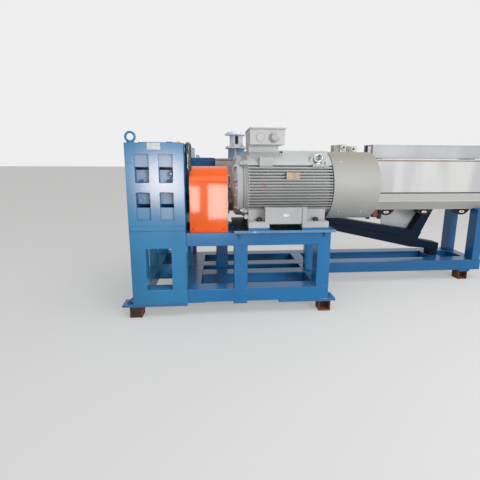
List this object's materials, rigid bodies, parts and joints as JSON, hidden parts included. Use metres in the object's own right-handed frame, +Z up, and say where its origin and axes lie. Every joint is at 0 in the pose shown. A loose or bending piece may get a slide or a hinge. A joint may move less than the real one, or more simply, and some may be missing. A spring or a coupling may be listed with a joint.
{
  "type": "plastic extruder",
  "caption": "Single screw plastic extruder: drive motor on a welded frame, coupling guard, gearbox on a pedestal, and a shrouded barrel on its own base behind.",
  "frame": {"origin": "middle of the footprint, on the floor", "axes": "+X along the machine towards the barrel end, +Y from the motor side to the barrel side, +Z up"},
  "size_m": [3.74, 1.188, 1.553],
  "materials": {
    "gearbox_blue": "gloss",
    "frame_blue": "gloss",
    "dark_blue": "gloss",
    "guard_orange": "gloss",
    "motor_grey": "satin",
    "motor_cast": "satin",
    "cowl_grey": "satin",
    "shroud_white": "satin",
    "duct_grey": "satin",
    "spool_paint": "satin",
    "black_parts": "satin",
    "rusty_steel": "matte",
    "bare_steel": "satin",
    "zinc": "satin",
    "filter_grey": "satin",
    "gland_grey": "satin",
    "connector_grey": "satin",
    "buff_plate": "satin",
    "panel_grey": "satin"
  },
  "bodies": {
    "root": {"square_bearers": "rusty_steel", "pedestal_panels": "gearbox_blue", "pedestal_side_rails": "gearbox_blue", "pedestal_mid_beam": "gearbox_blue", "foot_plates": "frame_blue", "gearbox_housing": "gearbox_blue", "gearbox_top_cover": "gearbox_blue", "gearbox_lifting_eye": "gearbox_blue", "gearbox_bearing_covers": "dark_blue", "oil_filter": "filter_grey", "coupling_guard": "guard_orange", "coupling": "bare_steel", "frame_top_rails": "frame_blue", "frame_bottom_rails": "frame_blue", "frame_posts": "frame_blue", "frame_cross_members": "frame_blue", "motor_base_plate": "frame_blue", "plate_gussets": "frame_blue", "motor_pads": "frame_blue", "motor_body": "motor_grey", "motor_feet": "motor_cast", "motor_end_shields": "motor_cast", "fan_cowl": "cowl_grey", "cowl_grille": "cowl_grey", "terminal_box": "motor_grey", "terminal_box_lid": "motor_grey", "cable_gland": "gland_grey", "motor_eyebolt": "zinc", "blank_nameplate": "buff_plate", "barrel_base_beams": "frame_blue", "barrel_base_cross_members": "frame_blue", "barrel_trestles": "frame_blue", "thrust_housing": "dark_blue", "barrel_cradle": "dark_blue", "feed_throat": "frame_blue", "hopper_spool": "spool_paint", "barrel_tube": "bare_steel", "barrel_end_flange": "bare_steel", "shroud_cover": "shroud_white", "shroud_tray": "shroud_white", "zone_blowers": "black_parts", "barrel_brace": "dark_blue", "service_panel": "panel_grey", "cable_duct": "duct_grey", "power_connectors": "connector_grey"}
  },
  "joints": []
}
